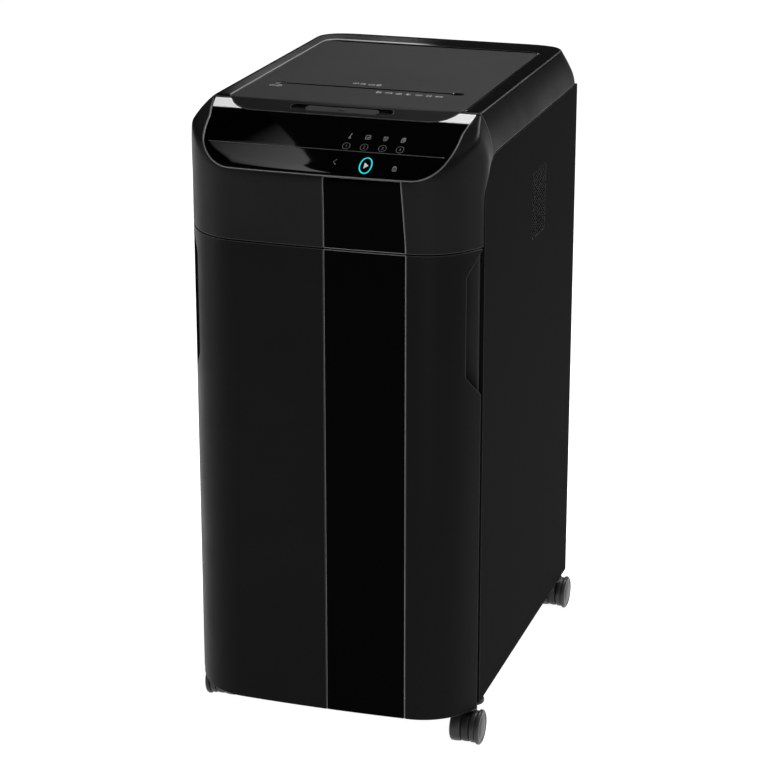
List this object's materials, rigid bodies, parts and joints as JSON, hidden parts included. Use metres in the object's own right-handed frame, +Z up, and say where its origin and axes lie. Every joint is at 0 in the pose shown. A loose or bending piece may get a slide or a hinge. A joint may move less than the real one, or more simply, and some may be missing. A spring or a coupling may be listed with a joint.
{
  "type": "paper shredder",
  "caption": "Free-standing office paper shredder with a hinged auto-feed lid, touch panel, geared cutter block, pull-out bin drawer and swivel casters.",
  "frame": {"origin": "centre of the overall footprint on the floor", "axes": "+Z up, -Y towards the front (door and control panel), +X to the right seen from the front"},
  "size_m": [0.394, 0.554, 0.82],
  "materials": {
    "cabinet_black": "fine-textured satin black",
    "gloss_black": "high-gloss piano black",
    "lid_grey": "fine spark-eroded matt dark grey",
    "trim_grey": "satin light grey edging",
    "silver": "satin silver",
    "cyan_light": "translucent light guide, lit",
    "button_grey": "smooth satin dark grey",
    "inner_black": "moulded matt black",
    "plated_steel": "zinc-plated sheet steel",
    "cutter_steel": "oiled hardened steel",
    "bright_steel": "bright turned steel",
    "spring_steel": "bright spring wire",
    "gear_steel": "sintered bronze-toned steel",
    "gear_nylon": "natural nylon",
    "motor_paint": "grey painted steel can",
    "board_green": "solder-masked circuit board",
    "rubber_black": "matt rubber",
    "roller_rubber": "ground grey rubber",
    "fork_black": "satin nylon"
  },
  "bodies": {
    "cabinet": {"base_pan": "inner_black", "side_panel_left": "cabinet_black", "side_panel_right": "cabinet_black", "rear_panel": "inner_black", "mid_deck": "plated_steel", "head_front": "cabinet_black", "head_strip": "gloss_black", "top_cover": "gloss_black", "control_panel": "gloss_black", "panel_trim": "trim_grey", "silver_accents": "silver", "start_ring": "cyan_light", "control_board": "board_green", "feed_tray": "inner_black", "throat_chute": "plated_steel", "cutter_plates": "plated_steel", "tie_rods": "bright_steel", "stripper_combs": "inner_black", "shaft_bearings": "bright_steel", "motor": "motor_paint", "fan_housing": "inner_black", "power_board": "board_green", "power_inlet": "inner_black", "switch_frame": "inner_black", "interlock_switches": "inner_black", "cabinet_rails": "plated_steel", "chassis_screws": "bright_steel", "lid_hinge_pins": "bright_steel", "feed_belt": "rubber_black"},
    "drawer": {"bin_tub": "inner_black", "door_shell": "cabinet_black", "door_back": "inner_black", "door_strip": "gloss_black", "handle_cups": "inner_black", "drawer_rails": "plated_steel"},
    "lid": {"lid_shell": "lid_grey", "lid_liner": "inner_black", "slot_guides": "silver"},
    "latch": {"latch_button": "button_grey", "latch_spring": "spring_steel"},
    "presser": {"pressure_plate": "inner_black", "plate_springs": "spring_steel"},
    "cutter_front": {"cutter_shaft_front": "cutter_steel", "gear_front": "gear_steel"},
    "cutter_rear": {"cutter_shaft_rear": "cutter_steel", "gear_rear": "gear_steel"},
    "idler": {"idler_gear": "gear_nylon"},
    "motor_rotor": {"motor_pinion": "gear_steel"},
    "feed_front": {"feed_roller_front": "roller_rubber"},
    "feed_rear": {"feed_roller_rear": "roller_rubber"},
    "fan_rotor": {"fan_impeller": "inner_black"},
    "rocker_body": {"rocker": "inner_black"},
    "swivel_fl": {"caster_fork_fl": "fork_black"},
    "wheel_fl": {"caster_wheel_fl": "rubber_black"},
    "swivel_fr": {"caster_fork_fr": "fork_black"},
    "wheel_fr": {"caster_wheel_fr": "rubber_black"},
    "swivel_rl": {"caster_fork_rl": "fork_black"},
    "wheel_rl": {"caster_wheel_rl": "rubber_black"},
    "swivel_rr": {"caster_fork_rr": "fork_black"},
    "wheel_rr": {"caster_wheel_rr": "rubber_black"}
  },
  "joints": [
    {"name": "drawer_slide", "type": "slide", "parent": "cabinet", "child": "drawer", "axis": [0, -1, 0], "range_m": [0, 0.4]},
    {"name": "lid_hinge", "type": "hinge", "parent": "cabinet", "child": "lid", "pos_m": [0, 0.2, 0.81], "axis": [-1, 0, 0], "range_deg": [0, 80]},
    {"name": "latch_press", "type": "slide", "parent": "lid", "child": "latch", "axis": [0, 0.3473, -0.9377], "range_m": [0, 0.0024], "stiffness_N_per_m": 500, "springref_m": -0.001, "deforming": ["latch_spring"]},
    {"name": "presser_lift", "type": "slide", "parent": "lid", "child": "presser", "axis": [0, 0, 1], "range_m": [0, 0.01], "stiffness_N_per_m": 250, "springref_m": -0.012, "deforming": ["plate_springs"]},
    {"name": "cutter_rear_spin", "type": "hinge", "parent": "cabinet", "child": "cutter_rear", "pos_m": [0, -0.058, 0.65], "axis": [1, 0, 0], "continuous": true},
    {"name": "cutter_front_spin", "type": "hinge", "parent": "cabinet", "child": "cutter_front", "pos_m": [0, -0.096, 0.65], "axis": [1, 0, 0], "continuous": true},
    {"name": "idler_spin", "type": "hinge", "parent": "cabinet", "child": "idler", "pos_m": [0, -0.024, 0.65], "axis": [1, 0, 0], "continuous": true},
    {"name": "motor_spin", "type": "hinge", "parent": "cabinet", "child": "motor_rotor", "pos_m": [0, 0.0285, 0.65], "axis": [1, 0, 0], "continuous": true},
    {"name": "feed_rear_spin", "type": "hinge", "parent": "cabinet", "child": "feed_rear", "pos_m": [0, -0.049, 0.742], "axis": [1, 0, 0], "continuous": true},
    {"name": "feed_front_spin", "type": "hinge", "parent": "cabinet", "child": "feed_front", "pos_m": [0, -0.105, 0.742], "axis": [1, 0, 0], "continuous": true},
    {"name": "fan_spin", "type": "hinge", "parent": "cabinet", "child": "fan_rotor", "pos_m": [0.165, 0.062, 0.655], "axis": [1, 0, 0], "continuous": true},
    {"name": "power_rocker", "type": "hinge", "parent": "cabinet", "child": "rocker_body", "pos_m": [-0.092, 0.255, 0.636], "axis": [-1, 0, 0], "range_deg": [0, 16]},
    {"name": "swivel_fl", "type": "hinge", "parent": "cabinet", "child": "swivel_fl", "pos_m": [-0.176, -0.186, 0.06], "axis": [0, 0, 1], "continuous": true},
    {"name": "roll_fl", "type": "hinge", "parent": "swivel_fl", "child": "wheel_fl", "pos_m": [-0.176, -0.166, 0.023], "axis": [1, 0, 0], "continuous": true},
    {"name": "swivel_fr", "type": "hinge", "parent": "cabinet", "child": "swivel_fr", "pos_m": [0.176, -0.186, 0.06], "axis": [0, 0, 1], "continuous": true},
    {"name": "roll_fr", "type": "hinge", "parent": "swivel_fr", "child": "wheel_fr", "pos_m": [0.176, -0.206, 0.023], "axis": [1, 0, 0], "continuous": true},
    {"name": "swivel_rl", "type": "hinge", "parent": "cabinet", "child": "swivel_rl", "pos_m": [-0.176, 0.234, 0.06], "axis": [0, 0, 1], "continuous": true},
    {"name": "roll_rl", "type": "hinge", "parent": "swivel_rl", "child": "wheel_rl", "pos_m": [-0.176, 0.254, 0.023], "axis": [1, 0, 0], "continuous": true},
    {"name": "swivel_rr", "type": "hinge", "parent": "cabinet", "child": "swivel_rr", "pos_m": [0.176, 0.234, 0.06], "axis": [0, 0, 1], "continuous": true},
    {"name": "roll_rr", "type": "hinge", "parent": "swivel_rr", "child": "wheel_rr", "pos_m": [0.176, 0.254, 0.023], "axis": [1, 0, 0], "continuous": true}
  ],
  "couplings": [
    {"joint": "cutter_front_spin", "follows": "cutter_rear_spin", "ratio": -1},
    {"joint": "idler_spin", "follows": "cutter_rear_spin", "ratio": -1.2667},
    {"joint": "motor_spin", "follows": "cutter_rear_spin", "ratio": 5.0667},
    {"joint": "feed_rear_spin", "follows": "cutter_rear_spin", "ratio": 1},
    {"joint": "feed_front_spin", "follows": "cutter_rear_spin", "ratio": -1}
  ]
}
